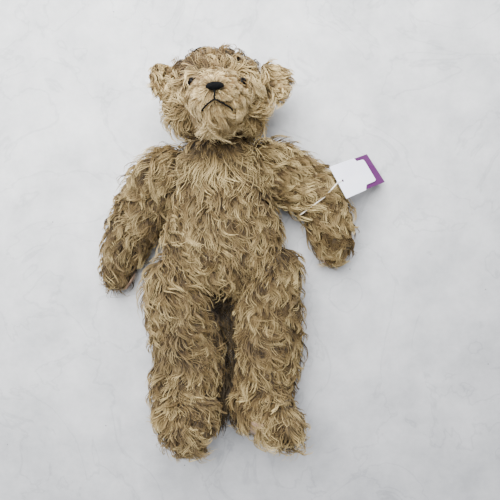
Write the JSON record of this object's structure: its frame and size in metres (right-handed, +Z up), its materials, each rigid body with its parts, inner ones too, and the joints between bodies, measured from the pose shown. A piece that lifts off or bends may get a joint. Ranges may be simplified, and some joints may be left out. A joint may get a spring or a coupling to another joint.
{
  "type": "jointed plush teddy bear",
  "caption": "Curly long-pile jointed teddy bear lying on its back, with a swing ticket tied round one elbow; the head, arms and legs turn on disc joints.",
  "frame": {"origin": "middle of the torso's flat back, on the surface that the bear lies on", "axes": "+Z up, out of the bear's chest; +Y from the feet to the head; +X to the bear's own left side"},
  "size_m": [0.288, 0.3748, 0.1254],
  "materials": {
    "mohair": "curly long-pile mohair, matted, light tips over darker roots",
    "polyfill": "loose white polyester fibre",
    "felt": "brown wool felt",
    "thread": "black embroidery thread, slight sheen",
    "eye": "glossy black bead",
    "plastic": "moulded joint disc",
    "card": "smooth white card",
    "card_edge": "purple printed card",
    "string": "off-white elastic string"
  },
  "bodies": {
    "torso": {"torso_pelt": "mohair", "torso_stuffing": "polyfill", "neck_body_disc": "plastic", "shoulder_left_body_disc": "plastic", "shoulder_right_body_disc": "plastic", "hip_left_body_disc": "plastic", "hip_right_body_disc": "plastic"},
    "head": {"head_pelt": "mohair", "head_stuffing": "polyfill", "ear_left": "mohair", "ear_right": "mohair", "eye_left": "eye", "eye_right": "eye", "eye_washer_left": "plastic", "eye_washer_right": "plastic", "nose": "thread", "mouth_stitch_centre": "thread", "mouth_stitch_left": "thread", "mouth_stitch_right": "thread", "neck_stem_disc": "plastic", "neck_lock_washer": "plastic"},
    "arm_left": {"arm_left_pelt": "mohair", "arm_left_stuffing": "polyfill", "shoulder_left_stem_disc": "plastic", "shoulder_left_lock_washer": "plastic", "arm_left_paw_pad": "felt", "tag_card": "card", "tag_backing": "card_edge", "tag_string": "string"},
    "arm_right": {"arm_right_pelt": "mohair", "arm_right_stuffing": "polyfill", "shoulder_right_stem_disc": "plastic", "shoulder_right_lock_washer": "plastic", "arm_right_paw_pad": "felt"},
    "leg_left": {"leg_left_pelt": "mohair", "leg_left_stuffing": "polyfill", "hip_left_stem_disc": "plastic", "hip_left_lock_washer": "plastic", "leg_left_foot_pad": "felt"},
    "leg_right": {"leg_right_pelt": "mohair", "leg_right_stuffing": "polyfill", "hip_right_stem_disc": "plastic", "hip_right_lock_washer": "plastic", "leg_right_foot_pad": "felt"}
  },
  "joints": [
    {"name": "neck_turn", "type": "hinge", "parent": "torso", "child": "head", "pos_m": [0.002, 0.0755, 0.038], "axis": [0, 1, 0], "continuous": true},
    {"name": "shoulder_left", "type": "hinge", "parent": "torso", "child": "arm_left", "pos_m": [0.0342, 0.042, 0.03], "axis": [-0.9366, -0.3043, -0.1736], "range_deg": [-70, 120]},
    {"name": "shoulder_right", "type": "hinge", "parent": "torso", "child": "arm_right", "pos_m": [-0.0342, 0.042, 0.03], "axis": [-0.9366, 0.3043, 0.1736], "range_deg": [-70, 120]},
    {"name": "hip_left", "type": "hinge", "parent": "torso", "child": "leg_left", "pos_m": [0.0393, -0.0493, 0.036], "axis": [-0.788, 0.6157, 0], "range_deg": [-60, 85]},
    {"name": "hip_right", "type": "hinge", "parent": "torso", "child": "leg_right", "pos_m": [-0.0393, -0.0493, 0.036], "axis": [-0.788, -0.6157, 0], "range_deg": [-60, 85]}
  ]
}
